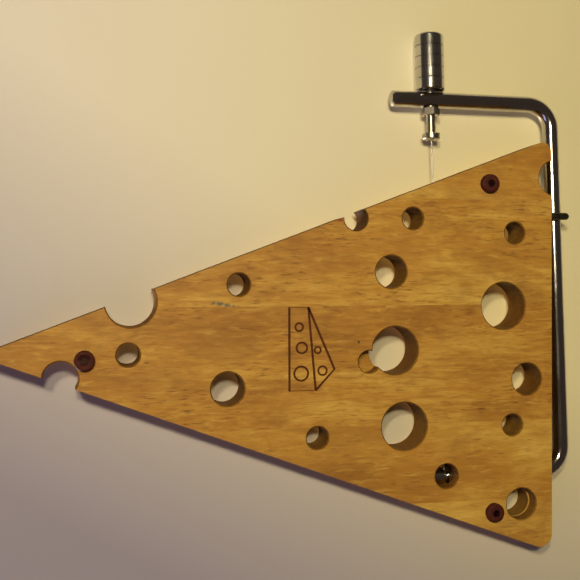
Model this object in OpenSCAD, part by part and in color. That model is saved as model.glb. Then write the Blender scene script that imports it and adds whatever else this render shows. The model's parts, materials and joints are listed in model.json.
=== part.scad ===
// Wedge-shaped cheese wire cutter.
// A board of glued staves, drilled to look like a slice of holey cheese, stands on three
// rubber feet. A bent rod bow hinges in a long bore in the board's wide edge and holds a
// cutting wire, which drops into a kerf across the top face. A knob tightens the wire.
// Millimetres. +X runs from the wedge's tip to its wide edge, +Z is up, and the knob is
// on the -Y side. The origin is under the middle of the whole object, on the table.

/* [Board] */
// Length from the sharp corner of the wedge, before rounding, to the wide edge
board_length = 238; // [150:1:320]
// Width of the wide edge
board_width = 180; // [120:1:240]
// Thickness of the board
board_thickness = 16; // [12:0.5:25]
// Rounding of the tip
tip_radius = 1.5; // [0.5:0.5:6]
// Rounding of the corner next to the knob
knob_corner_radius = 4; // [0.5:0.5:10]
// Rounding of the corner next to the pivot
pivot_corner_radius = 5.5; // [0.5:0.5:10]
// Where the glue joints between the staves lie, across the board
joint_y = [-63, -18, 32, 65.5];
// Eased rim round every hole
edge_ease = 0.5; // [0.2:0.1:1.2]

/* [Cheese holes] */
// Small drill
small_d = 9.2; // [6:0.1:14]
// Middle drill
middle_d = 13.6; // [10:0.1:20]
// Large drill
large_d = 20; // [14:0.1:28]
// Depth of the hole that was started and never drilled through
blind_depth = 6; // [2:0.5:12]

/* [Bow] */
// Diameter of the rod
rod_d = 7; // [5:0.5:10]
// Bend radius at the rod's centre line
bend_r = 11; // [8:0.5:16]
// From the pivot axis to the centre line of the run that carries the knob
bow_reach = 164.5; // [120:0.5:220]
// From the wide edge to the centre line of the side run
bow_side_x = 8.7; // [6:0.1:20]
// From the wide edge back to the free end of the knob run
bow_free_end = 67.4; // [55:0.1:90]
// From the wide edge back to the blind end of the pivot run
pivot_end = 58.5; // [50:0.5:80]
// Pivot axis across the board, from its middle line
pivot_y = 56; // [40:0.5:75]
// Pivot axis above the board's lower face
pivot_height = 7.5; // [6:0.1:10]
// Angle of the closed bow above level
closed_angle = 3.6; // [0:0.1:8]
// Radial running clearance of the rod in its bore
pivot_clearance = 0.05; // [0.02:0.01:0.1]
// Diameter of the stop peg
peg_d = 3.2; // [2:0.1:6]
// How far the stop peg stands out of the wide edge
peg_out = 13.6; // [8:0.1:20]
// How far the stop peg is driven into the board
peg_in = 20; // [8:1:30]

/* [Wire] */
// Diameter of the cutting wire
wire_d = 0.5; // [0.3:0.1:1]
// Width of the kerf
kerf_width = 2; // [1:0.1:4]
// Depth of the kerf's floor below the closed wire
kerf_under_wire = 1.6; // [0.6:0.1:3]
// Where the wire meets the pivot run, back from the wide edge
wire_foot_x = 47; // [40:0.5:60]
// Where the tension screw crosses the knob run, back from the wide edge
screw_x = 49; // [40:0.5:60]

/* [Tensioner] */
// Diameter of the tension screw
screw_d = 4; // [3:0.5:6]
// Travel of the tension screw
screw_travel = 2.1; // [1:0.1:4]
// Diameter of the knob
knob_d = 12.8; // [9:0.1:20]
// Length of the knob
knob_length = 25.3; // [15:0.5:40]
// Grooves round the knob
knob_grooves = 4; // [0:1:6]
// Pitch of those grooves
groove_pitch = 4.85; // [3:0.05:8]

/* [Feet] */
// Diameter of a foot's plug
foot_d = 8.1; // [6:0.1:14]
// How far a foot stands out below the board
foot_height = 2.5; // [1.5:0.1:6]
// Depth of the drilled pocket that holds a foot
foot_pocket = 6; // [3:0.5:10]

/* [Hidden] */
$fn = 96;
eps = 0.01;
bronze = [0.72, 0.53, 0.30];
steel = [0.80, 0.80, 0.82];
rubber = [0.20, 0.09, 0.07];

half_width = board_width / 2;
edge_angle = atan(half_width / board_length);
tip_x = board_length - tip_radius / sin(edge_angle);
tip_reach = tip_x + tip_radius;
board_low = foot_height;
board_high = foot_height + board_thickness;
pivot_z = board_low + pivot_height;
rod_r = rod_d / 2;
gap = 0.3;

// How far back from a corner its rounding starts, and how wide the corners are.
function tangent_back(r, half_angle) = r / tan(half_angle);
wide_angle = (90 - edge_angle) / 2;
knob_back = tangent_back(knob_corner_radius, wide_angle);
pivot_back = tangent_back(pivot_corner_radius, wide_angle);
tip_back = tangent_back(tip_radius, edge_angle);

// Middle of the whole object, so that the origin lies under it.
knob_dome = 1.2;
knob_seat = bow_reach + rod_r + gap;
knob_top = knob_seat + knob_length;
middle_x = (peg_out - tip_reach) / 2;
knob_far_y = pivot_y - (knob_top - knob_dome) * cos(closed_angle)
             - (knob_d / 2 - knob_dome) * sin(closed_angle) - knob_dome;
board_far_y = half_width - pivot_back + pivot_corner_radius;
middle_y = (knob_far_y + board_far_y) / 2;

// Cheese holes: x back from the wide edge, y from the middle line, diameter.
cheese_holes = [
    [-180.7, -20.1, large_d], [-207.6, 9.5, middle_d], [-181.8, 0.7, small_d],
    [-137.9, -26.8, small_d], [-142.5, 15.1, middle_d], [-105.4, 36.2, small_d],
    [-88.7, -54.1, small_d + 0.8], [-63.8, -54.4, small_d], [-73.4, -32.0, middle_d],
    [-71.7, 0.9, large_d], [-67.7, 32.8, large_d], [-22.7, -17.4, large_d],
    [-17.4, -48.8, small_d], [-11.8, 14.3, middle_d], [-18.6, 34.0, small_d],
    [-14.8, 68.3, middle_d - 0.6], [1.6, -72.9, middle_d + 1.2]];
pivot_hole = [-48.9, 54.6, 10.2];
blind_hole = [-83.1, 5.4, small_d];
step_hole = [-14.3, 68.3, middle_d - 0.2];
step_depth = 6;

// Feet: under the tip, under the knob side and under the pivot side.
foot_at = [[-198.5, 2.6], [-29.3, -69.7], [-27.3, 71.2]];
foot_recess_d = 3.2;
foot_recess_depth = 1.6;
foot_shoulder = 1.2;
foot_screw_d = 2.8;
foot_screw_head = 1;
foot_screw_bite = 4.5;
pilot_d = 1.6;

// Flared mouth of the pivot bore.
mouth_depth = 3.2;
mouth_flare = 1.3;

peg_y = -57;
peg_r = peg_d / 2;
peg_z = pivot_z + (pivot_y - peg_y) * tan(closed_angle)
        - (rod_r + peg_r + eps) / cos(closed_angle);

neck_d = 4;
neck_width = 2;
nut_width = 7;
nut_height = 3.2;
nut_top = bow_reach - rod_r - gap;
head_d = 7.7;
head_height = 2.5;
head_top = nut_top - nut_height - 8.2;
ferrule_d = 1.8;
ferrule_length = 2.5;
chamber_d = ferrule_d + 2 * gap;
chamber_length = ferrule_length + screw_travel + 2 * gap;
screw_end = knob_seat + 15;

// Puts a node that is drawn from the wide edge's middle into the object's frame.
module in_board_frame() {
    translate([-middle_x, -middle_y, 0]) children();
}

// Puts a node that is drawn from the pivot axis, with the bow along -Y, into place.
module in_bow_frame() {
    in_board_frame() translate([0, pivot_y, pivot_z]) rotate([-closed_angle, 0, 0]) children();
}

// Turns a part drawn along +Z so that it runs from the pivot towards the knob.
module along_bow(x, reach) {
    translate([x, -reach, 0]) rotate([90, 0, 0]) children();
}

// The wedge seen from above, with its three corners rounded.
module wedge_outline() {
    ux = cos(edge_angle);
    uy = sin(edge_angle);
    knob_corner = [-knob_corner_radius, -half_width + knob_back];
    pivot_corner = [-pivot_corner_radius, half_width - pivot_back];
    union() {
        polygon([
            [-board_length + tip_back * ux, -tip_back * uy],
            [-knob_back * ux, -half_width + knob_back * uy],
            knob_corner, [0, knob_corner[1]], [0, pivot_corner[1]], pivot_corner,
            [-pivot_back * ux, half_width - pivot_back * uy],
            [-board_length + tip_back * ux, tip_back * uy],
            [-tip_x, 0]]);
        translate([-tip_x, 0]) circle(tip_radius);
        translate(knob_corner) circle(knob_corner_radius);
        translate(pivot_corner) circle(pivot_corner_radius);
    }
}

// A hole with an eased rim at each open end: at the lower face and, if through, above.
module eased_hole(at, depth, through) {
    r = at[2] / 2;
    flare = edge_ease + eps;
    translate([at[0], at[1], board_low]) {
        translate([0, 0, -1]) cylinder(r = r, h = depth + (through ? 2 : 1));
        translate([0, 0, -eps]) cylinder(r1 = r + flare, r2 = r, h = flare);
        if (through) translate([0, 0, board_thickness - edge_ease])
            cylinder(r1 = r, r2 = r + flare, h = flare);
    }
}

function reaches(at, y0, y1) =
    at[1] + at[2] / 2 + 1 > y0 && at[1] - at[2] / 2 - 1 < y1;

// Everything drilled or sawn in the board, limited to the cuts between two joints.
module board_cuts(y0, y1) {
    for (h = concat(cheese_holes, [pivot_hole]))
        if (reaches(h, y0, y1)) eased_hole(h, board_thickness, true);
    if (reaches(blind_hole, y0, y1)) eased_hole(blind_hole, blind_depth, false);
    if (reaches(step_hole, y0, y1)) eased_hole(step_hole, step_depth, false);
    for (f = foot_at)
        if (reaches([f[0], f[1], foot_d], y0, y1)) translate([f[0], f[1], board_low - 1]) {
            cylinder(d = foot_d, h = foot_pocket + 1);
            cylinder(d = pilot_d, h = foot_pocket + foot_screw_bite + 2);
        }
    if (peg_y > y0 && peg_y < y1)
        translate([-peg_in, peg_y, peg_z]) rotate([0, 90, 0])
            cylinder(d = peg_d, h = peg_in + 1);
    if (pivot_y > y0 && pivot_y < y1) {
        translate([-pivot_end - 1.5, pivot_y, pivot_z]) rotate([0, 90, 0])
            cylinder(r = rod_r + pivot_clearance, h = pivot_end + 2.5);
        // The bore's mouth is opened out to clear the start of the bend.
        translate([-mouth_depth, pivot_y, pivot_z]) rotate([0, 90, 0])
            cylinder(r1 = rod_r + pivot_clearance, r2 = rod_r + mouth_flare,
                     h = mouth_depth + eps);
    }
    kerf_cut();
}

// A saw cut from the knob side to the pivot hole. Its floor runs just below the wire.
module kerf_cut() {
    lean = atan((screw_x - wire_foot_x) / head_top);
    translate([-wire_foot_x, pivot_y, pivot_z])
        rotate([0, 0, -lean])
            rotate([-closed_angle, 0, 0])
                translate([-kerf_width / 2, -head_top, -kerf_under_wire])
                    cube([kerf_width, head_top - 4, 3 * board_thickness]);
}

// One stave: the slice of the drilled board between two glue joints.
module stave(y0, y1) {
    color(bronze) in_board_frame() difference() {
        translate([0, 0, board_low]) linear_extrude(board_thickness) intersection() {
            wedge_outline();
            translate([-board_length, y0]) square([board_length + 1, y1 - y0]);
        }
        board_cuts(y0, y1);
    }
}

module stave_1() { stave(-half_width, joint_y[0]); }
module stave_2() { stave(joint_y[0], joint_y[1]); }
module stave_3() { stave(joint_y[1], joint_y[2]); }
module stave_4() { stave(joint_y[2], joint_y[3]); }
module stave_5() { stave(joint_y[3], half_width); }

// Rubber plug, pressed into a drilled pocket, with a rounded shoulder and a recess.
module foot(at) {
    r = foot_d / 2;
    depth = foot_height + foot_pocket;
    color(rubber) in_board_frame() translate([at[0], at[1], 0]) difference() {
        rotate_extrude() difference() {
            union() {
                translate([0, foot_shoulder]) square([r, depth - foot_shoulder]);
                square([r - foot_shoulder, depth]);
                translate([r - foot_shoulder, foot_shoulder]) circle(foot_shoulder);
            }
            translate([-r, -1]) square([r, depth + 2]);
        }
        translate([0, 0, -1]) cylinder(d = foot_recess_d, h = foot_recess_depth + 1);
        translate([0, 0, -1]) cylinder(d = pilot_d, h = depth + 2);
    }
}

module foot_tip() { foot(foot_at[0]); }
module foot_knob_side() { foot(foot_at[1]); }
module foot_pivot_side() { foot(foot_at[2]); }

// Small slotted screw in the foot's recess, running on into the board.
module foot_screw(at) {
    z0 = foot_recess_depth - foot_screw_head;
    shank_top = foot_height + foot_pocket + foot_screw_bite;
    color(steel) in_board_frame() translate([at[0], at[1], 0]) difference() {
        union() {
            translate([0, 0, z0]) cylinder(d = foot_screw_d, h = foot_screw_head);
            translate([0, 0, z0]) cylinder(d = pilot_d, h = shank_top - z0);
            translate([0, 0, shank_top]) cylinder(r1 = pilot_d / 2, r2 = 0.1, h = 0.9);
        }
        translate([-2, -0.3, z0 - 1]) cube([4, 0.6, 1.4]);
    }
}

module foot_screw_tip() { foot_screw(foot_at[0]); }
module foot_screw_knob_side() { foot_screw(foot_at[1]); }
module foot_screw_pivot_side() { foot_screw(foot_at[2]); }

// Steel peg with a rounded end. The side run of the closed bow lies on it.
module stop_peg() {
    color(steel) in_board_frame() translate([-peg_in, peg_y, peg_z]) rotate([0, 90, 0])
        rotate_extrude() intersection() {
            union() {
                square([peg_r, peg_in + peg_out - peg_r]);
                translate([0, peg_in + peg_out - peg_r]) circle(peg_r);
            }
            square([peg_r, peg_in + peg_out]);
        }
}

// A quarter of a ring, for one bend of the rod, from +X round to +Y.
module rod_bend() {
    rotate_extrude(angle = 90) translate([bend_r, 0]) circle(rod_r);
}

// Straight rod along +X with both ends chamfered.
module rod_along_x(x0, x1, chamfer0) {
    translate([x0, 0, 0]) rotate([0, 90, 0]) union() {
        cylinder(r1 = rod_r - chamfer0, r2 = rod_r, h = chamfer0);
        translate([0, 0, chamfer0]) cylinder(r = rod_r, h = x1 - x0 - chamfer0);
    }
}

module bow_rod() {
    bend_x = bow_side_x - bend_r;
    chamfer = 0.7;
    color(steel) in_bow_frame() difference() {
        union() {
            translate([0, -bow_reach, 0]) rod_along_x(-bow_free_end, bend_x, chamfer);
            translate([bend_x, -bow_reach + bend_r, 0]) rotate([0, 0, -90]) rod_bend();
            translate([bow_side_x, -bend_r, 0]) rotate([90, 0, 0])
                cylinder(r = rod_r, h = bow_reach - 2 * bend_r);
            translate([bend_x, -bend_r, 0]) rod_bend();
            rod_along_x(-pivot_end, bend_x, chamfer);
        }
        // Turned neck for the wire's eye.
        translate([-wire_foot_x - neck_width / 2, 0, 0]) rotate([0, 90, 0]) difference() {
            cylinder(r = rod_r + 1, h = neck_width);
            translate([0, 0, -1]) cylinder(d = neck_d, h = neck_width + 2);
        }
        // Cross hole for the tension screw.
        along_bow(-screw_x, bow_reach - rod_r - 1)
            cylinder(r = screw_d / 2 + pivot_clearance, h = rod_d + 2);
    }
}

// The wire lies round the neck in an eye, leaves it with its tail wound back round it,
// and leans a little to meet the ferrule.
eye_r = neck_d / 2 + wire_d / 2 + 0.05;
twist_start = eye_r + wire_d;
twist_turns = 7;
twist_pitch = 0.46;
wire_stop = head_top + gap + ferrule_length - 0.4;
wire_lean = atan((screw_x - wire_foot_x) / head_top);

module along_wire(reach) {
    translate([-wire_foot_x, 0, 0]) rotate([0, 0, -wire_lean])
        translate([0, -reach, 0]) rotate([90, 0, 0]) children();
}

module cutting_wire() {
    color(steel) in_bow_frame() union() {
        translate([-wire_foot_x, 0, 0]) rotate([0, 90, 0]) rotate_extrude($fn = 64)
            translate([eye_r, 0]) circle(d = wire_d, $fn = 24);
        along_wire(eye_r)
            cylinder(d = wire_d, h = (wire_stop - eye_r) / cos(wire_lean), $fn = 24);
        along_wire(twist_start) rotate_extrude($fn = 48)
            for (i = [0:twist_turns - 1])
                translate([wire_d * 0.6, i * twist_pitch]) circle(d = wire_d, $fn = 24);
    }
}

// Crimped sleeve on the wire's end, held in the tension screw.
module wire_ferrule() {
    color(steel) in_bow_frame() along_bow(-screw_x, head_top + gap) difference() {
        cylinder(d = ferrule_d, h = ferrule_length);
        translate([0, 0, -1]) cylinder(d = wire_d, h = ferrule_length + 0.6);
    }
}

// Screw with a slotted head. The ferrule lies in a chamber above the head.
module tension_screw() {
    color(steel) in_bow_frame() along_bow(-screw_x, head_top - head_height) difference() {
        union() {
            cylinder(r1 = head_d / 2 - 0.4, r2 = head_d / 2, h = 0.4);
            translate([0, 0, 0.4]) cylinder(d = head_d, h = head_height - 0.4);
            cylinder(d = screw_d, h = screw_end - head_top + head_height);
        }
        translate([-wire_d / 2 - gap, -head_d, -1])
            cube([wire_d + 2 * gap, 2 * head_d, head_height + 1 + eps]);
        translate([0, 0, head_height]) cylinder(d = chamber_d, h = chamber_length);
        translate([-ferrule_d / 2 - 0.1, 0, head_height])
            cube([ferrule_d + 0.2, screw_d, ferrule_length + 1]);
    }
}

module lock_nut() {
    color(steel) in_bow_frame() along_bow(-screw_x, nut_top - nut_height) difference() {
        rotate([0, 0, 30]) intersection() {
            cylinder(d = nut_width / cos(30), h = nut_height, $fn = 6);
            union() {
                cylinder(r1 = nut_width / 2 + 0.1, r2 = nut_width / 2 + 0.7, h = 0.4);
                translate([0, 0, 0.4]) cylinder(r = nut_width / 2 + 0.7, h = nut_height - 0.8);
                translate([0, 0, nut_height - 0.4])
                    cylinder(r1 = nut_width / 2 + 0.7, r2 = nut_width / 2 + 0.1, h = 0.4);
            }
        }
        translate([0, 0, -1]) cylinder(d = screw_d, h = nut_height + 2);
    }
}

// Turned knob with fine grooves and a blind threaded bore.
module knob() {
    r = knob_d / 2;
    base = 0.5;
    color(steel) in_bow_frame() along_bow(-screw_x, knob_seat) difference() {
        union() {
            cylinder(r1 = r - base, r2 = r, h = base);
            translate([0, 0, base]) cylinder(r = r, h = knob_length - base - knob_dome);
            translate([0, 0, knob_length - knob_dome]) rotate_extrude() intersection() {
                union() {
                    square([r - knob_dome, knob_dome]);
                    translate([r - knob_dome, 0]) circle(knob_dome);
                }
                square([r, knob_dome]);
            }
        }
        for (i = [0:knob_grooves - 1])
            translate([0, 0, knob_length - 5.4 - i * groove_pitch - 0.25]) difference() {
                cylinder(r = r + 1, h = 0.5);
                translate([0, 0, -1]) cylinder(r = r - 0.4, h = 2.5);
            }
        translate([0, 0, -1])
            cylinder(r = screw_d / 2 + pivot_clearance, h = knob_length - 5);
    }
}

stave_1();
stave_2();
stave_3();
stave_4();
stave_5();
foot_tip();
foot_knob_side();
foot_pivot_side();
foot_screw_tip();
foot_screw_knob_side();
foot_screw_pivot_side();
stop_peg();
bow_rod();
cutting_wire();
wire_ferrule();
tension_screw();
lock_nut();
knob();
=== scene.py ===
"""Looks for a wedge-shaped cheese wire cutter: oiled board, polished bow, rubber feet.

The board lies face up in the frame. The camera is below it and looks up at its feet, as if
the cutter lay upside down on a table. So there are two grounds, and each shows from one
side only: a table against the upper face, seen from below, and a floor under the feet,
seen from above.
"""

import json
import math

import bmesh
import bpy
from mathutils import Matrix, Vector

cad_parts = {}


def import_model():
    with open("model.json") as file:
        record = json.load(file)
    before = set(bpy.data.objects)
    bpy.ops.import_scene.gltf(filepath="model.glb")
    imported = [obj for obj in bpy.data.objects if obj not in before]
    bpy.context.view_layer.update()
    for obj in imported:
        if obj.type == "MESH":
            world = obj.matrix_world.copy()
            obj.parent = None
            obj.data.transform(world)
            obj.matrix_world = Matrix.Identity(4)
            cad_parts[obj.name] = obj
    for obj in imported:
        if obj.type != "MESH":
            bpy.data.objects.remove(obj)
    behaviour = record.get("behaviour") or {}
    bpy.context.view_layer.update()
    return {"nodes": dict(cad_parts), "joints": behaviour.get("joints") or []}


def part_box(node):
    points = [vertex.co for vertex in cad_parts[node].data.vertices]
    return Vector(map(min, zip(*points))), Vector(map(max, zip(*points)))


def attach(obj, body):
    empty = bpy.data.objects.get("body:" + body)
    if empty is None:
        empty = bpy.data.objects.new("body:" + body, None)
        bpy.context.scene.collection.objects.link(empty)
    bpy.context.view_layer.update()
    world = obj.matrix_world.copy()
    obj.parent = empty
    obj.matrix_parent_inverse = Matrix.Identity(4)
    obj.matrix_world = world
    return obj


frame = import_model()

MM = 0.001
JOINTS = {joint["name"]: joint for joint in frame["joints"]}
PIVOT = Vector(JOINTS["bow_hinge"]["pos_m"])
KNOB_AXIS = Vector(JOINTS["knob_turn"]["axis"])
KNOB_POINT = Vector(JOINTS["knob_turn"]["pos_m"])
FEET = ["foot_tip", "foot_knob_side", "foot_pivot_side"]
FOOT_SCREWS = [foot.replace("foot_", "foot_screw_") for foot in FEET]

BOARD_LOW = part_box("stave_3")[0].z
BOARD_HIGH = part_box("stave_3")[1].z
WIDE_EDGE_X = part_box("stave_5")[1].x
PIVOT_FROM_MIDDLE = 56 * MM
MIDDLE_Y = PIVOT.y - PIVOT_FROM_MIDDLE


def on_board(x, y, z=0.0):
    """A point given in mm from the middle of the wide edge, on the board's lower face."""
    return Vector((WIDE_EDGE_X + x * MM, MIDDLE_Y + y * MM, BOARD_LOW + z * MM))


# ---------------------------------------------------------------- node helpers

class Nodes:
    """A short way to build a node tree."""

    def __init__(self, tree):
        self.tree = tree
        tree.nodes.clear()

    def add(self, kind):
        return self.tree.nodes.new(kind)

    def put(self, socket, value):
        if isinstance(value, bpy.types.NodeSocket):
            self.tree.links.new(value, socket)
        elif isinstance(value, tuple) and len(value) == 3 and socket.type == "RGBA":
            socket.default_value = value + (1.0,)
        else:
            socket.default_value = value

    def math(self, operation, a, b=0.0, c=0.0, clamp=False):
        node = self.add("ShaderNodeMath")
        node.operation = operation
        node.use_clamp = clamp
        for socket, value in zip(node.inputs, (a, b, c)):
            self.put(socket, value)
        return node.outputs[0]

    def mix(self, factor, a, b):
        node = self.add("ShaderNodeMix")
        node.data_type = "RGBA"
        self.put(node.inputs[0], factor)
        self.put(node.inputs[6], a)
        self.put(node.inputs[7], b)
        return node.outputs[2]

    def tinted(self, colour, tint, mask, strength):
        """The colour, taken towards the tint by the mask times the strength."""
        return self.mix(self.math("MULTIPLY", mask, strength), colour, tint)

    def mix_shaders(self, factor, a, b):
        node = self.add("ShaderNodeMixShader")
        self.put(node.inputs[0], factor)
        self.put(node.inputs[1], a.outputs[0])
        self.put(node.inputs[2], b.outputs[0])
        return node

    def axes(self, vector):
        """The X, Y and Z parts of a vector."""
        node = self.add("ShaderNodeSeparateXYZ")
        self.put(node.inputs[0], vector)
        return node.outputs

    def length(self, vector):
        node = self.add("ShaderNodeVectorMath")
        node.operation = "LENGTH"
        self.put(node.inputs[0], vector)
        return node.outputs["Value"]

    def place(self, scale=(1, 1, 1), shift=(0, 0, 0), turn=(0, 0, 0)):
        """Object coordinates in metres, moved, turned and scaled."""
        coords = self.add("ShaderNodeTexCoord")
        mapping = self.add("ShaderNodeMapping")
        self.put(mapping.inputs["Vector"], coords.outputs["Object"])
        mapping.inputs["Location"].default_value = shift
        mapping.inputs["Rotation"].default_value = turn
        mapping.inputs["Scale"].default_value = scale
        return mapping.outputs[0]

    def noise(self, vector, detail, rough, warp=0.0):
        """Noise at scale 1, so that place() sets its size."""
        node = self.add("ShaderNodeTexNoise")
        self.put(node.inputs["Vector"], vector)
        node.inputs["Scale"].default_value = 1.0
        node.inputs["Detail"].default_value = detail
        node.inputs["Roughness"].default_value = rough
        node.inputs["Distortion"].default_value = warp
        return node.outputs["Fac"]

    def ramp(self, factor, stops):
        node = self.add("ShaderNodeValToRGB")
        self.put(node.inputs[0], factor)
        elements = node.color_ramp.elements
        while len(elements) < len(stops):
            elements.new(0.5)
        for element, (position, colour) in zip(elements, stops):
            element.position = position
            if not isinstance(colour, tuple):
                colour = (colour, colour, colour)
            element.color = colour + (1.0,)
        return node.outputs[0]

    def bump(self, height, distance, strength):
        node = self.add("ShaderNodeBump")
        node.inputs["Strength"].default_value = strength
        node.inputs["Distance"].default_value = distance
        self.put(node.inputs["Height"], height)
        return node.outputs[0]

    def shader(self, **inputs):
        """One principled shader on the material's output, its sockets given by name."""
        node = self.add("ShaderNodeBsdfPrincipled")
        for name, value in inputs.items():
            self.put(node.inputs[name.replace("_", " ")], value)
        self.output("ShaderNodeOutputMaterial", node)

    def output(self, kind, shader):
        self.put(self.add(kind).inputs[0], shader.outputs[0])


def material(name):
    made = bpy.data.materials.new(name)
    made.use_nodes = True
    return made, Nodes(made.node_tree)


def put_on(node_names, made):
    for name in node_names:
        mesh = frame["nodes"][name].data
        mesh.materials.clear()
        mesh.materials.append(made)


# ---------------------------------------------------------------- wood

HONEY = (0.475, 0.265, 0.050)
PALE = (0.600, 0.385, 0.090)
AMBER = (0.390, 0.185, 0.032)
RUSSET = (0.255, 0.110, 0.020)
PORE = (0.120, 0.045, 0.012)
GRIME = (0.225, 0.098, 0.022)
BURNT = (0.055, 0.016, 0.007)
CHARRED = (0.11, 0.035, 0.012)
WALL_SHADE_AND_END_GRAIN = (0.10, 0.036, 0.010)
NOTCH_SHADE_COLOUR = (0.035, 0.008, 0.005)
BLUE_SMUDGE = (0.06, 0.09, 0.085)
SCORCH = (0.20, 0.03, 0.01)
INK_DOT = (0.03, 0.02, 0.01)

# A face whose normal has less than this along Z counts as upright.
UPRIGHT_BELOW = 0.9

# Each stave: the shift of its grain, how red it is, how strong its figure is.
STAVE_LOOKS = {
    "stave_1": ((0.31, 1.7, 0.4), 0.35, 0.6),
    "stave_2": ((1.13, 0.2, 2.1), 0.45, 0.9),
    "stave_3": ((2.71, 3.1, 0.9), 0.70, 1.0),
    "stave_4": ((4.05, 1.1, 1.6), 0.40, 0.6),
    "stave_5": ((5.57, 2.3, 0.2), 0.75, 0.6),
}


def wood(name, shift, redness, figure):
    """Oiled hardwood: long pale figure, growth bands, short dark pores, soft wear."""
    made, n = material("oiled_wood_" + name)
    broad = n.noise(n.place(scale=(9, 34, 34), shift=shift), 4.0, 0.6, 0.8)
    bands = n.noise(n.place(scale=(16, 150, 110), shift=shift), 4.0, 0.65, 1.6)
    flecks = n.noise(n.place(scale=(110, 620, 460), shift=shift), 3.0, 0.6, 0.6)
    fibre = n.noise(n.place(scale=(170, 2600, 2200), shift=shift), 2.0, 0.6)
    patch = n.noise(n.place(scale=(22, 34, 34), shift=shift), 4.0, 0.6, 0.5)
    streak = n.noise(n.place(scale=(190, 1150, 900), shift=shift), 2.0, 0.5)
    cluster = n.noise(n.place(scale=(24, 95, 90), shift=shift), 2.0, 0.5)
    grime = n.noise(n.place(scale=(38, 52, 52), shift=shift), 5.0, 0.62, 0.8)

    warm = n.ramp(broad, [(0.38, PALE), (0.50, HONEY), (0.60, AMBER)])
    deep = n.ramp(broad, [(0.36, HONEY), (0.50, AMBER), (0.64, RUSSET)])
    redden = n.math("MULTIPLY_ADD", patch, 2.4, redness - 1.25, clamp=True)
    colour = n.mix(redden, warm, deep)
    band = n.ramp(bands, [(0.44, 0.0), (0.60, 1.0)])
    colour = n.tinted(colour, AMBER, band, 0.75 * figure)
    fleck = n.ramp(flecks, [(0.50, 0.0), (0.68, 1.0)])
    colour = n.tinted(colour, RUSSET, fleck, 0.60 * figure)
    glint = n.ramp(flecks, [(0.30, 1.0), (0.46, 0.0)])
    colour = n.tinted(colour, PALE, glint, 0.40)
    colour = n.tinted(colour, RUSSET, n.ramp(fibre, [(0.35, 0.0), (0.75, 1.0)]), 0.20)
    dense = n.ramp(cluster, [(0.46, 0.0), (0.60, 1.0)])
    fine = n.ramp(streak, [(0.56, 0.0), (0.72, 1.0)])
    pores = n.math("MULTIPLY", fine, n.math("MULTIPLY_ADD", dense, 0.60, 0.20))
    colour = n.tinted(colour, PORE, pores, figure)
    soiled = n.ramp(grime, [(0.50, 0.0), (0.66, 1.0)])
    colour = n.tinted(colour, GRIME, soiled, 0.42)
    colour = stains_and_notch_shade(n, name, colour)

    wall = upright(n)
    # Painted shade on the upright walls, partly standing for darker end grain.
    colour = n.tinted(colour, WALL_SHADE_AND_END_GRAIN, wall, 0.68)
    gloss = n.math("MULTIPLY_ADD", wall, -0.28, 0.30)

    rough = n.math("MULTIPLY_ADD", patch, 0.20, 0.38)
    rough = n.math("MULTIPLY_ADD", pores, 0.2, rough)
    height = n.math("SUBTRACT", n.math("MULTIPLY", fibre, 0.35), pores)
    n.shader(Base_Color=colour, Roughness=rough, Specular_IOR_Level=gloss,
             Normal=n.bump(height, 0.05 * MM, 0.6))
    return made


def upright(n):
    """1 on cut walls and end grain, which get painted shade, partly for their darker end
    grain, and less sheen; 0 on the faces.
    """
    facing = n.add("ShaderNodeNewGeometry").outputs["True Normal"]
    return n.math("LESS_THAN", n.math("ABSOLUTE", n.axes(facing)["Z"]), UPRIGHT_BELOW)


def distance_from(n, centre, stretch=(1, 1, 1)):
    """Distance in mm from a point, with each axis stretched."""
    scale = tuple(s / MM for s in stretch)
    shift = tuple(-c * s for c, s in zip(centre, scale))
    return n.length(n.place(scale=scale, shift=shift))


def spot(n, colour, at, radius, stretch, tint, strength, ragged):
    """A stain with a ragged outline round a point of the board's lower face."""
    speckle = n.noise(n.place(scale=(900, 900, 900)), 3.0, 0.6)
    far = n.math("MULTIPLY_ADD", speckle, ragged, distance_from(n, at, stretch))
    soft = n.math("DIVIDE", n.math("SUBTRACT", radius + ragged / 2, far), radius * 0.6)
    mask = n.math("MULTIPLY", n.math("MINIMUM", n.math("MAXIMUM", soft, 0.0), 1.0), strength)
    return n.mix(mask, colour, tint)


def paint_notch_shade(n, colour, at, radius):
    """Painted shade on the wall of a notch, nearly black; the board's two faces keep their
    colour.
    """
    around = distance_from(n, at, (1, 1, 0))
    inside = n.math("MULTIPLY", n.math("LESS_THAN", around, radius),
                    n.math("GREATER_THAN", n.axes(n.place())["Z"], BOARD_LOW + 0.25 * MM))
    return n.tinted(colour, NOTCH_SHADE_COLOUR, inside, 0.85)


def stains_and_notch_shade(n, name, colour):
    """The marks of use on the lower face, and painted shade on the walls of two notches."""
    if name == "stave_2":
        for x, y, size in ((-148.2, -19.6, 0.9), (-145.6, -19.0, 1.3), (-142.6, -18.3, 1.5),
                           (-140.2, -18.0, 1.1), (-137.9, -17.8, 0.7)):
            colour = spot(n, colour, on_board(x, y), size, (1, 1.3, 1), BLUE_SMUDGE, 0.8, 3.2)
        colour = spot(n, colour, on_board(-95.6, -53.4), 1.8, (1, 1.6, 0.6), SCORCH, 0.9, 1.0)
        colour = spot(n, colour, on_board(-137.9, -26.8), 8.5, (1, 1.3, 0.5), RUSSET, 0.5, 5.0)
    # Painted shade on the walls of two open notches.
    if name == "stave_1":
        colour = paint_notch_shade(n, colour, on_board(1.6, -72.9), 8.6)
    if name in ("stave_1", "stave_2"):
        colour = paint_notch_shade(n, colour, on_board(-88.7, -54.1), 6.0)
    if name == "stave_3":
        colour = spot(n, colour, on_board(-87.7, -2.9), 0.8, (1.5, 0.9, 1), INK_DOT, 0.95, 0.4)
    return colour


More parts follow.
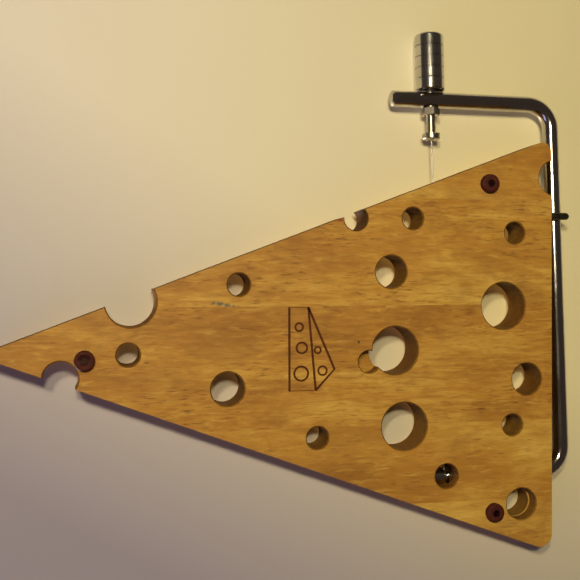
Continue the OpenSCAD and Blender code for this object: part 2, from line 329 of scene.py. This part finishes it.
for stave, (shift, redness, figure) in STAVE_LOOKS.items():
    put_on([stave], wood(stave, shift, redness, figure))


# ---------------------------------------------------------------- metal and rubber

# The knob's grooves, in mm along its axis from the rod's middle.
FIRST_GROOVE = 9.15
GROOVE_PITCH = 4.85
KNOB_RIM = 26
# Half the width of the painted shade in a groove, as a part of the pitch.
GROOVE_SHADE_HALF_WIDTH = 0.035
GROOVE_SHADE_COLOUR = (0.03, 0.022, 0.016)


def polished_steel():
    """Polished rod: faint lines round it from the polishing belt, and finger marks."""
    made, n = material("polished_steel")
    lines = n.noise(n.place(scale=(2600, 2600, 2600)), 2.0, 0.6)
    smear = n.noise(n.place(scale=(90, 90, 90)), 3.0, 0.6, 0.5)
    rough = n.math("MULTIPLY_ADD", n.ramp(smear, [(0.42, 0.0), (0.72, 1.0)]), 0.08, 0.10)
    rough = n.math("MULTIPLY_ADD", lines, 0.05, rough)
    tint = n.ramp(smear, [(0.3, (0.56, 0.53, 0.50)), (0.8, (0.47, 0.44, 0.41))])
    n.shader(Base_Color=tint, Metallic=1.0, Roughness=rough,
             Normal=n.bump(lines, 0.004 * MM, 0.4))
    return made


def turned_steel(name, tint, base_rough, axis_point, axis, ring_mm=0.16, shaded_grooves=False):
    """Lathe-turned steel: fine rings about its own axis, and painted shade in the knob's
    grooves.
    """
    made, n = material(name)
    turn = axis.to_track_quat("Z", "Y").inverted()
    shift = -(turn.to_matrix() @ axis_point)
    along = n.axes(n.place(turn=tuple(turn.to_euler()), shift=tuple(shift)))["Z"]
    rings = n.add("ShaderNodeTexNoise")
    rings.noise_dimensions = "1D"
    n.put(rings.inputs["W"], n.math("MULTIPLY", along, 1 / (ring_mm * MM)))
    rings.inputs["Scale"].default_value = 1.0
    smear = n.noise(n.place(scale=(130, 130, 130)), 3.0, 0.6, 0.4)
    rough = n.math("MULTIPLY_ADD", rings.outputs["Fac"], 0.10, base_rough)
    rough = n.math("MULTIPLY_ADD", smear, 0.08, rough)
    colour = n.mix(n.ramp(smear, [(0.35, 0.0), (0.8, 0.5)]), tint,
                   tuple(c * 0.72 for c in tint))
    # Painted shade: thin dark lines in the knob's grooves.
    if shaded_grooves:
        along_mm = n.math("MULTIPLY", along, 1 / MM)
        turns = n.math("DIVIDE", n.math("SUBTRACT", along_mm, FIRST_GROOVE), GROOVE_PITCH)
        near = n.math("LESS_THAN", n.math("PINGPONG", turns, 0.5), GROOVE_SHADE_HALF_WIDTH)
        groove_shade_mask = n.math("MULTIPLY", near, n.math("LESS_THAN", along_mm, KNOB_RIM))
        colour = n.tinted(colour, GROOVE_SHADE_COLOUR, groove_shade_mask, 0.75)
    n.shader(Base_Color=colour, Metallic=1.0, Roughness=rough,
             Normal=n.bump(rings.outputs["Fac"], 0.012 * MM, 0.5))
    return made


def rubber():
    """Dark red-brown rubber, dusty on its crown."""
    made, n = material("brown_rubber")
    dust = n.noise(n.place(scale=(420, 420, 420)), 4.0, 0.65)
    grain = n.noise(n.place(scale=(5200, 5200, 5200)), 2.0, 0.5)
    colour = n.ramp(dust, [(0.35, (0.045, 0.009, 0.007)), (0.70, (0.075, 0.019, 0.013))])
    rough = n.math("MULTIPLY_ADD", dust, 0.25, 0.42)
    n.shader(Base_Color=colour, Roughness=rough, Normal=n.bump(grain, 0.02 * MM, 0.5),
             Specular_IOR_Level=0.12)
    return made


def dark_steel():
    """Steel gone dark with age, with brighter rubbed spots."""
    made, n = material("dark_steel")
    bloom = n.noise(n.place(scale=(500, 500, 500)), 4.0, 0.6)
    colour = n.ramp(bloom, [(0.35, (0.060, 0.045, 0.035)), (0.75, (0.20, 0.17, 0.14))])
    n.shader(Base_Color=colour, Metallic=1.0,
             Roughness=n.math("MULTIPLY_ADD", bloom, 0.25, 0.30),
             Normal=n.bump(bloom, 0.02 * MM, 0.5))
    return made


put_on(["bow_rod"], polished_steel())
put_on(["knob"], turned_steel("turned_knob_steel", (0.60, 0.58, 0.54), 0.10, KNOB_POINT,
                              KNOB_AXIS, shaded_grooves=True))
put_on(["tension_screw", "lock_nut", "wire_ferrule"],
       turned_steel("screw_steel", (0.50, 0.45, 0.37), 0.20, KNOB_POINT, KNOB_AXIS))
put_on(["cutting_wire"], turned_steel("drawn_wire_steel", (0.62, 0.58, 0.50), 0.25,
                                      KNOB_POINT, KNOB_AXIS, 1.5))
put_on(FEET, rubber())
# The foot screws are tinted nearly black: painted shade in the feet's recesses.
put_on(FOOT_SCREWS, turned_steel("foot_screw_steel_in_painted_shade", (0.07, 0.035, 0.03), 0.28, PIVOT,
                                 Vector((0, 0, 1))))
put_on(["stop_peg"], dark_steel())


# ---------------------------------------------------------------- new objects

def new_object(name, data, pose=Matrix()):
    item = bpy.data.objects.new(name, data)
    item.matrix_world = pose
    bpy.context.scene.collection.objects.link(item)
    return item


def new_mesh_object(name, bm, made):
    mesh = bpy.data.meshes.new(name)
    bm.to_mesh(mesh)
    bm.free()
    mesh.materials.append(made)
    return new_object(name, mesh)


def aimed(at, forward, right):
    """A pose at a point, with -Z forward and +X as near to the given right as can be."""
    forward = forward.normalized()
    right = (right - forward * right.dot(forward)).normalized()
    axes = Matrix((right, right.cross(forward), -forward)).transposed()
    return Matrix.Translation(at) @ axes.to_4x4()


# ---------------------------------------------------------------- the burnt mark

def burnt_material():
    made, n = material("burnt_line")
    char = n.noise(n.place(scale=(1400, 1400, 1400)), 3.0, 0.6)
    colour = n.ramp(char, [(0.35, BURNT), (0.75, CHARRED)])
    n.shader(Base_Color=colour, Roughness=0.75, Specular_IOR_Level=0.08,
             Normal=n.bump(char, 0.03 * MM, 0.6))
    return made


def ribbon(bm, points, width, closed=False):
    """A flat line of constant width through points in the board's plane."""
    count = len(points)
    left, right = [], []
    for i, point in enumerate(points):
        before = points[i - 1] if (i or closed) else point
        after = points[(i + 1) % count] if (i < count - 1 or closed) else point
        run = (after - before).normalized()
        side = Vector((-run.y, run.x, 0)) * width / 2
        left.append(bm.verts.new(point + side))
        right.append(bm.verts.new(point - side))
    for i in range(count if closed else count - 1):
        j = (i + 1) % count
        bm.faces.new((left[i], left[j], right[j], right[i]))


def arc(centre, radius, start, stop, steps):
    """Points on an arc, angles in degrees from +X towards +Y."""
    angles = [math.radians(start + (stop - start) * i / steps) for i in range(steps + 1)]
    return [centre + Vector((math.cos(a), math.sin(a), 0)) * radius for a in angles]


# A ring of the mark is an arc up to this angle, and one last stretch closes it.
RING_OPEN_TO = 348


def burnt_mark():
    """A plain drawing of a wedge of cheese, burnt into the lower face. It reads from the
    wide edge's side, so its own right is +Y and its own up is +X."""
    centre = on_board(-107.7, -0.4, -0.03)
    line = 1.0 * MM
    bm = bmesh.new()

    def at(right, up):
        return centre + Vector((up * MM, right * MM, 0))

    tip, rind = at(-17, -1.5), at(17, 1.5)
    ribbon(bm, [at(-17, -9.5), at(17, -9.5), rind, tip], line, closed=True)
    ribbon(bm, [tip, at(8.5, 9.5), rind], line)
    for right, up, radius in ((-9, -5.4, 1.6), (-0.5, -4.3, 2.2), (10, -4.6, 2.9)):
        ribbon(bm, arc(at(right, up), radius * MM, 0, RING_OPEN_TO, 29), line * 0.85, True)
    for right, up, radius in ((0.5, 2.4, 1.3), (9.0, 4.4, 1.8)):
        ribbon(bm, arc(at(right, up), radius * MM, 0, RING_OPEN_TO, 23), line * 0.8, True)
    piece = new_mesh_object("burnt_mark", bm, burnt_material())
    for polygon in piece.data.polygons:
        if polygon.normal.z > 0:
            polygon.flip()
    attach(piece, "base")


burnt_mark()


# ---------------------------------------------------------------- grounds, light, camera

TABLE_TOP = (0.66, 0.61, 0.65)
TABLE_RIGHT = (0.69, 0.61, 0.42)
TABLE_PAINTED_SHADE = (0.28, 0.245, 0.33)
FLOOR_TOP = (0.72, 0.69, 0.64)
FAR_GLOW = (0.60, 0.585, 0.56)
MOTTLE = (0.4, 0.33, 0.25)
GRIT = (0.3, 0.25, 0.2)


def one_sided(name, colour, gradients=(), far_glow=False):
    """A matt ground that shows from its front only. Each gradient is (start, run in x, run
    in y, the colour at its far end). far_glow keeps it pale where it is far away."""
    made, n = material(name)
    mottle = n.noise(n.place(scale=(14, 14, 14)), 3.0, 0.5)
    grain = n.noise(n.place(scale=(900, 900, 900)), 2.0, 0.5)
    for start, run_x, run_y, other in gradients:
        across = n.axes(n.place())
        blend = n.math("MULTIPLY_ADD", across["X"], run_x, start)
        blend = n.math("MULTIPLY_ADD", across["Y"], run_y, blend, clamp=True)
        colour = n.mix(blend, colour, other)
    colour = n.tinted(colour, MOTTLE, mottle, 0.08)
    colour = n.tinted(colour, GRIT, grain, 0.05)
    surface = n.add("ShaderNodeBsdfDiffuse")
    n.put(surface.inputs["Color"], colour)
    if far_glow:
        glow = n.add("ShaderNodeEmission")
        n.put(glow.inputs["Color"], FAR_GLOW)
        far = n.math("MULTIPLY_ADD", n.length(n.place()), 0.6, -0.25, clamp=True)
        surface = n.mix_shaders(far, surface, glow)
    clear = n.add("ShaderNodeBsdfTransparent")
    back = n.add("ShaderNodeNewGeometry").outputs["Backfacing"]
    n.output("ShaderNodeOutputMaterial", n.mix_shaders(back, surface, clear))
    return made


def stage_piece(name, bm, made, camera=True, shadow=False, bounce=False, reflections=False):
    piece = new_mesh_object(name, bm, made)
    piece.visible_camera = camera
    piece.visible_shadow = shadow
    piece.visible_diffuse = bounce
    piece.visible_glossy = reflections


# The table as a tilted plane: its slope, where it meets the board's upper face (mm across
# the board), and how far it clears that face.
TABLE_SLOPE = math.tan(math.radians(2.7))
TABLE_TOUCH_Y = 84
TABLE_CLEARANCE = 0.1 * MM
# Its two corners, in mm on the board, and how wide a step it takes.
TABLE_CORNERS = ((-330, -260), (130, 230))
STEP = 4 * MM


def table_height(y):
    """The table's height, which grows from the pivot side to the knob side."""
    return BOARD_HIGH + TABLE_CLEARANCE + (on_board(0, TABLE_TOUCH_Y).y - y) * TABLE_SLOPE


def table(made):
    """Level strips that overlap, each a little lower than the one before it."""
    (low, y, _), (high, far, _) = [on_board(*corner) for corner in TABLE_CORNERS]
    bm = bmesh.new()
    while y < far:
        z = table_height(y)
        end = y + 2 * STEP
        corners = [(low, y, z), (low, end, z), (high, end, z), (high, y, z)]
        bm.faces.new([bm.verts.new(c) for c in corners])
        y += STEP
    stage_piece("table", bm, made, reflections=True)


# The through holes that no edge of the board cuts, in mm: x and y on the board, diameter.
# part.scad gives the same places and sizes.
HOLES = [(-181.8, 0.7, 9.2), (-137.9, -26.8, 9.2), (-142.5, 15.1, 13.6), (-105.4, 36.2, 9.2),
         (-63.8, -54.4, 9.2), (-73.4, -32.0, 13.6), (-71.7, 0.9, 20), (-67.7, 32.8, 20),
         (-22.7, -17.4, 20), (-17.4, -48.8, 9.2), (-11.8, 14.3, 13.6), (-18.6, 34.0, 9.2),
         (-14.8, 68.3, 13.0), (-48.9, 54.6, 10.2)]


# A cap's radius as a part of its hole's diameter, and its height above the board.
CAP_RADIUS = 0.51
CAP_CLEARANCE = 0.2 * MM


def ring(bm, x, y, z, radius, angles):
    """Vertices of a level circle, in the order of the angles."""
    return [bm.verts.new((x + radius * math.cos(a), y + radius * math.sin(a), z))
            for a in angles]


def full_turn(count, sense=1):
    """Angles of a full turn in radians: sense 1 turns from +X to +Y, and -1 the other way."""
    return [sense * 2 * math.pi * i / count for i in range(count)]


def hole_caps(made):
    """A disc above each hole, hidden from the camera, that keeps the lights above out."""
    bm = bmesh.new()
    for x, y, across in HOLES:
        at = on_board(x, y)
        bm.faces.new(ring(bm, at.x, at.y, BOARD_HIGH + CAP_CLEARANCE,
                          across * CAP_RADIUS * MM, full_turn(32, -1)))
    stage_piece("hole_caps", bm, made, camera=False, shadow=True, bounce=True)


def floor():
    """A wide disc under the feet that turns up into a wall far away."""
    rings = [(1.2, 0), (2.4, 0), (3.0, 0.06), (3.4, 0.35), (3.5, 0.9), (3.5, 3.0)]
    segments = 64
    bm = bmesh.new()
    loops = [ring(bm, 0, 0, height, radius, full_turn(segments)) for radius, height in rings]
    centre = bm.verts.new((0, 0, 0))
    for i in range(segments):
        j = (i + 1) % segments
        bm.faces.new((centre, loops[0][i], loops[0][j]))
        for inner, outer in zip(loops, loops[1:]):
            bm.faces.new((inner[i], outer[i], outer[j], inner[j]))
    stage_piece("floor", bm, one_sided("floor_top", FLOOR_TOP, far_glow=True))


def area_light(name, at, target, size, power, colour):
    lamp = bpy.data.lights.new(name, "AREA")
    lamp.shape = "RECTANGLE"
    lamp.size, lamp.size_y = size
    lamp.energy = power
    lamp.color = colour
    return new_object(name, lamp, aimed(at, Vector(target) - Vector(at), Vector((1, 0, 0))))


def world():
    """Dim warm room below and a soft grey one above."""
    made = bpy.data.worlds.new("room")
    made.use_nodes = True
    n = Nodes(made.node_tree)
    coords = n.add("ShaderNodeTexCoord")
    height = n.math("MULTIPLY_ADD", n.axes(coords.outputs["Generated"])["Z"], 0.5, 0.5)
    sky = n.ramp(height, [(0.0, (0.045, 0.033, 0.024)), (0.47, (0.060, 0.046, 0.035)),
                          (0.52, (0.30, 0.295, 0.285)), (0.75, (0.20, 0.195, 0.19)),
                          (1.0, (0.18, 0.175, 0.17))])
    shade = n.add("ShaderNodeBackground")
    n.put(shade.inputs["Color"], sky)
    n.output("ShaderNodeOutputWorld", shade)
    bpy.context.scene.world = made


SENSOR_MM = 36
CAMERA_AT = on_board(-198.0, -26.4, -357.0)
CAMERA_FORWARD = Vector((0.22156, 0.00505, 0.97513))
CAMERA_RIGHT = Vector((0.97514, 0.00268, -0.22157))


def camera():
    """Below the board, near the tip, looking up at the whole lower face."""
    data = bpy.data.cameras.new("camera")
    data.sensor_width = SENSOR_MM
    data.lens = SENSOR_MM * 900 / 580
    pose = aimed(CAMERA_AT, CAMERA_FORWARD, CAMERA_RIGHT)
    bpy.context.scene.camera = new_object("camera", data, pose)


# What the lights below the board point at, and the colours of all the lights.
LIT_POINT = on_board(-100, 0)
LAMP_GLOW = (1.0, 0.89, 0.53)
SHADE_GLOW = (1.0, 0.89, 0.62)
WINDOW_GLOW = (0.60, 0.55, 1.0)
SOFT_WHITE = (1.0, 0.97, 0.92)


# The table's second gradient is painted shade, darker and bluer towards -X and +Y; the first
# turns it yellower towards +X.
table_top = one_sided("table_top", TABLE_TOP, ((0.65, 3.6, 0.2, TABLE_RIGHT),
                                               (0.18, -3.2, 5.4, TABLE_PAINTED_SHADE)))
table(table_top)
hole_caps(table_top)
floor()
world()
camera()
for name, at, power in (("lamp_near", (-218, -187, -645), 2.6),
                        ("lamp_far", (-331, -255, -645), 2.4)):
    bulb = area_light(name, on_board(*at), LIT_POINT, (0.06, 0.05), power, LAMP_GLOW)
    bulb.visible_glossy = False
shade = area_light("lamp_shade", on_board(-240, -235, -655), LIT_POINT, (0.20, 0.10), 2.6,
                   SHADE_GLOW)
shade.visible_diffuse = False
area_light("window_below", on_board(-620, 420, -420), LIT_POINT, (0.5, 0.5), 1.0,
           WINDOW_GLOW)
area_light("softbox_above", (-1.6, 1.9, 2.4), (0, 0, 0), (1.4, 1.4), 140.0, SOFT_WHITE)
bpy.context.scene.view_settings.view_transform = "Standard"
bpy.context.scene.cycles.transparent_max_bounces = 64
